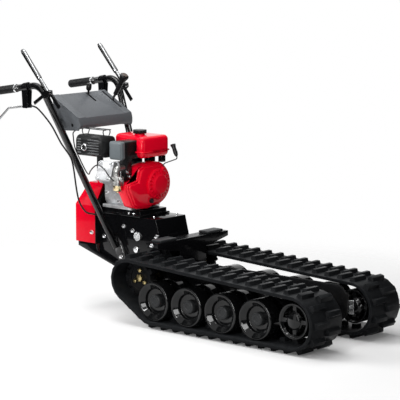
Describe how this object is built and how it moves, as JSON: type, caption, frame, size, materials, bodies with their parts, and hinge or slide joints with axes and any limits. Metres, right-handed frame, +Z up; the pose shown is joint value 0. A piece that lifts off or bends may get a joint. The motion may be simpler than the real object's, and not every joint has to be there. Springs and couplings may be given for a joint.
{
  "type": "tracked power carrier",
  "caption": "Walk-behind tracked power carrier chassis with rubber tracks, a red engine on a black bed, splayed handlebars, a lever dash and a cross beam for a load bed.",
  "frame": {"origin": "on the ground under the middle of the whole machine's box", "axes": "+X forward, the way the carrier drives; +Y to the machine's left; +Z up"},
  "size_m": [1.7008, 0.542, 1.0373],
  "materials": {
    "frame_black": "gloss black paint with light wear on edges",
    "bed_black": "gloss black powder coat",
    "cover_red": "gloss red paint",
    "engine_red": "gloss red paint",
    "track_rubber": "dark moulded rubber, dusty on the lugs",
    "wheel_black": "satin black paint on pressed steel",
    "sprocket_black": "black painted casting, worn bright on the teeth",
    "casting_dark": "dark painted casting",
    "casting_silver": "as-cast aluminium with a matt grain",
    "shaft_steel": "turned steel",
    "zinc": "bright zinc plate",
    "zinc_yellow": "yellow zinc plate",
    "lever_chrome": "polished chrome plate",
    "bar_black": "gloss black tube",
    "grip_rubber": "soft ribbed rubber",
    "pad_rubber": "grey-black rubber pad",
    "dash_grey": "moulded grey plastic with a fine grain",
    "knob_black": "moulded black plastic",
    "muffler_steel": "heat-dulled grey coating",
    "cleaner_black": "moulded black plastic",
    "cleaner_grey": "moulded grey plastic",
    "carb_metal": "die-cast body with a brass bowl",
    "cable_black": "black cable sheath"
  },
  "bodies": {
    "chassis": {"main_frame": "frame_black", "gearbox": "casting_dark", "engine_bed": "bed_black", "rear_guard": "bed_black", "bed_beam": "frame_black", "bed_pads": "pad_rubber", "bed_fittings": "zinc", "belt_plate": "bed_black", "belt_cover": "cover_red", "drive_belt": "cable_black", "road_axles": "shaft_steel", "idler_tensioners": "zinc", "handlebars": "bar_black", "grips": "grip_rubber", "lever_brackets": "bar_black", "dash": "dash_grey", "lever_shaft": "shaft_steel", "clutch_cables": "cable_black", "throttle_cable": "cable_black", "engine_base": "bed_black", "crankcase": "casting_silver", "engine_cylinder": "casting_silver", "fan_housing": "engine_red", "recoil_starter": "engine_red", "fuel_tank": "engine_red", "tank_brackets": "bed_black", "air_cleaner_case": "cleaner_black", "air_cleaner_cover": "cleaner_grey", "muffler": "muffler_steel", "carburettor": "carb_metal", "starter_rope": "cable_black", "track_right": "track_rubber", "track_left": "track_rubber"},
    "drive_right": {"sprocket_right": "sprocket_black", "drive_axle_right": "zinc_yellow"},
    "road_wheel_right_1": {"road_wheel_right_1": "wheel_black"},
    "road_wheel_right_2": {"road_wheel_right_2": "wheel_black"},
    "road_wheel_right_3": {"road_wheel_right_3": "wheel_black"},
    "road_wheel_right_4": {"road_wheel_right_4": "wheel_black"},
    "idler_right": {"idler_right": "wheel_black"},
    "drive_lever_right": {"drive_lever_right": "lever_chrome"},
    "steering_lever_right": {"steering_lever_right": "zinc"},
    "drive_left": {"sprocket_left": "sprocket_black", "drive_axle_left": "zinc_yellow"},
    "road_wheel_left_1": {"road_wheel_left_1": "wheel_black"},
    "road_wheel_left_2": {"road_wheel_left_2": "wheel_black"},
    "road_wheel_left_3": {"road_wheel_left_3": "wheel_black"},
    "road_wheel_left_4": {"road_wheel_left_4": "wheel_black"},
    "idler_left": {"idler_left": "wheel_black"},
    "drive_lever_left": {"drive_lever_left": "lever_chrome"},
    "steering_lever_left": {"steering_lever_left": "zinc"},
    "crank": {"crankshaft": "shaft_steel", "crank_pulley": "casting_dark"},
    "gearbox_input": {"input_pulley": "casting_dark"},
    "gear_lever": {"gear_lever": "knob_black"},
    "speed_lever": {"speed_lever": "knob_black"},
    "tank_cap": {"tank_cap": "knob_black"},
    "starter_grip": {"starter_grip": "knob_black"},
    "choke_lever": {"choke_lever": "zinc"},
    "stop_switch": {"stop_switch": "knob_black"}
  },
  "joints": [
    {"name": "drive_right_spin", "type": "hinge", "parent": "chassis", "child": "drive_right", "pos_m": [-0.06676, -0.181, 0.174], "axis": [0, 1, 0], "continuous": true, "deforming": ["track_right"]},
    {"name": "road_wheel_right_1_spin", "type": "hinge", "parent": "chassis", "child": "road_wheel_right_1", "pos_m": [0.05524, -0.181, 0.1043], "axis": [0, 1, 0], "continuous": true},
    {"name": "road_wheel_right_2_spin", "type": "hinge", "parent": "chassis", "child": "road_wheel_right_2", "pos_m": [0.22324, -0.181, 0.1043], "axis": [0, 1, 0], "continuous": true},
    {"name": "road_wheel_right_3_spin", "type": "hinge", "parent": "chassis", "child": "road_wheel_right_3", "pos_m": [0.39124, -0.181, 0.1043], "axis": [0, 1, 0], "continuous": true},
    {"name": "road_wheel_right_4_spin", "type": "hinge", "parent": "chassis", "child": "road_wheel_right_4", "pos_m": [0.55924, -0.181, 0.1043], "axis": [0, 1, 0], "continuous": true},
    {"name": "idler_right_spin", "type": "hinge", "parent": "chassis", "child": "idler_right", "pos_m": [0.73924, -0.181, 0.124], "axis": [0, 1, 0], "continuous": true},
    {"name": "drive_lever_right_push", "type": "hinge", "parent": "chassis", "child": "drive_lever_right", "pos_m": [-0.53226, -0.222, 0.868], "axis": [0, 1, 0], "range_deg": [0, 40], "stiffness_Nm_per_rad": 3, "springref_deg": -11.46},
    {"name": "steering_lever_right_squeeze", "type": "hinge", "parent": "chassis", "child": "steering_lever_right", "pos_m": [-0.65576, -0.222, 0.808], "axis": [0, 1, 0], "range_deg": [0, 20], "stiffness_Nm_per_rad": 2, "springref_deg": -11.46},
    {"name": "drive_left_spin", "type": "hinge", "parent": "chassis", "child": "drive_left", "pos_m": [-0.06676, 0.181, 0.174], "axis": [0, 1, 0], "continuous": true, "deforming": ["track_left"]},
    {"name": "road_wheel_left_1_spin", "type": "hinge", "parent": "chassis", "child": "road_wheel_left_1", "pos_m": [0.05524, 0.181, 0.1043], "axis": [0, 1, 0], "continuous": true},
    {"name": "road_wheel_left_2_spin", "type": "hinge", "parent": "chassis", "child": "road_wheel_left_2", "pos_m": [0.22324, 0.181, 0.1043], "axis": [0, 1, 0], "continuous": true},
    {"name": "road_wheel_left_3_spin", "type": "hinge", "parent": "chassis", "child": "road_wheel_left_3", "pos_m": [0.39124, 0.181, 0.1043], "axis": [0, 1, 0], "continuous": true},
    {"name": "road_wheel_left_4_spin", "type": "hinge", "parent": "chassis", "child": "road_wheel_left_4", "pos_m": [0.55924, 0.181, 0.1043], "axis": [0, 1, 0], "continuous": true},
    {"name": "idler_left_spin", "type": "hinge", "parent": "chassis", "child": "idler_left", "pos_m": [0.73924, 0.181, 0.124], "axis": [0, 1, 0], "continuous": true},
    {"name": "drive_lever_left_push", "type": "hinge", "parent": "chassis", "child": "drive_lever_left", "pos_m": [-0.53226, 0.222, 0.868], "axis": [0, 1, 0], "range_deg": [0, 40], "stiffness_Nm_per_rad": 3, "springref_deg": -11.46},
    {"name": "steering_lever_left_squeeze", "type": "hinge", "parent": "chassis", "child": "steering_lever_left", "pos_m": [-0.65576, 0.222, 0.808], "axis": [0, 1, 0], "range_deg": [0, 20], "stiffness_Nm_per_rad": 2, "springref_deg": -11.46},
    {"name": "crank_spin", "type": "hinge", "parent": "chassis", "child": "crank", "pos_m": [-0.40976, 0, 0.515], "axis": [1, 0, 0], "continuous": true, "deforming": ["drive_belt"]},
    {"name": "input_spin", "type": "hinge", "parent": "chassis", "child": "gearbox_input", "pos_m": [-0.40976, 0, 0.318], "axis": [1, 0, 0], "continuous": true},
    {"name": "gear_lever_shift", "type": "hinge", "parent": "chassis", "child": "gear_lever", "pos_m": [-0.53676, 0.133, 0.744], "axis": [0, 1, 0], "range_deg": [-28, 28]},
    {"name": "speed_lever_shift", "type": "hinge", "parent": "chassis", "child": "speed_lever", "pos_m": [-0.53676, 0.04, 0.744], "axis": [0, 1, 0], "range_deg": [0, 20]},
    {"name": "tank_cap_turn", "type": "hinge", "parent": "chassis", "child": "tank_cap", "pos_m": [-0.22476, -0.02, 0.713], "axis": [0, 0, 1], "range_deg": [0, 90]},
    {"name": "starter_pull", "type": "slide", "parent": "chassis", "child": "starter_grip", "axis": [0.94, 0, 0.3412], "range_m": [0, 0.5], "stiffness_N_per_m": 20, "springref_m": -0.2, "deforming": ["starter_rope"]},
    {"name": "choke_turn", "type": "hinge", "parent": "chassis", "child": "choke_lever", "pos_m": [-0.16876, -0.19, 0.549], "axis": [1, 0, 0], "range_deg": [0, 60]},
    {"name": "stop_switch_turn", "type": "hinge", "parent": "chassis", "child": "stop_switch", "pos_m": [-0.14476, -0.04, 0.452], "axis": [1, 0, 0], "range_deg": [0, 45]}
  ],
  "couplings": [
    {"joint": "road_wheel_right_1_spin", "follows": "drive_right_spin", "ratio": 0.93506},
    {"joint": "road_wheel_right_2_spin", "follows": "drive_right_spin", "ratio": 0.93506},
    {"joint": "road_wheel_right_3_spin", "follows": "drive_right_spin", "ratio": 0.93506},
    {"joint": "road_wheel_right_4_spin", "follows": "drive_right_spin", "ratio": 0.93506},
    {"joint": "idler_right_spin", "follows": "drive_right_spin", "ratio": 0.94667},
    {"joint": "road_wheel_left_1_spin", "follows": "drive_left_spin", "ratio": 0.93506},
    {"joint": "road_wheel_left_2_spin", "follows": "drive_left_spin", "ratio": 0.93506},
    {"joint": "road_wheel_left_3_spin", "follows": "drive_left_spin", "ratio": 0.93506},
    {"joint": "road_wheel_left_4_spin", "follows": "drive_left_spin", "ratio": 0.93506},
    {"joint": "idler_left_spin", "follows": "drive_left_spin", "ratio": 0.94667},
    {"joint": "input_spin", "follows": "crank_spin", "ratio": 0.625}
  ]
}
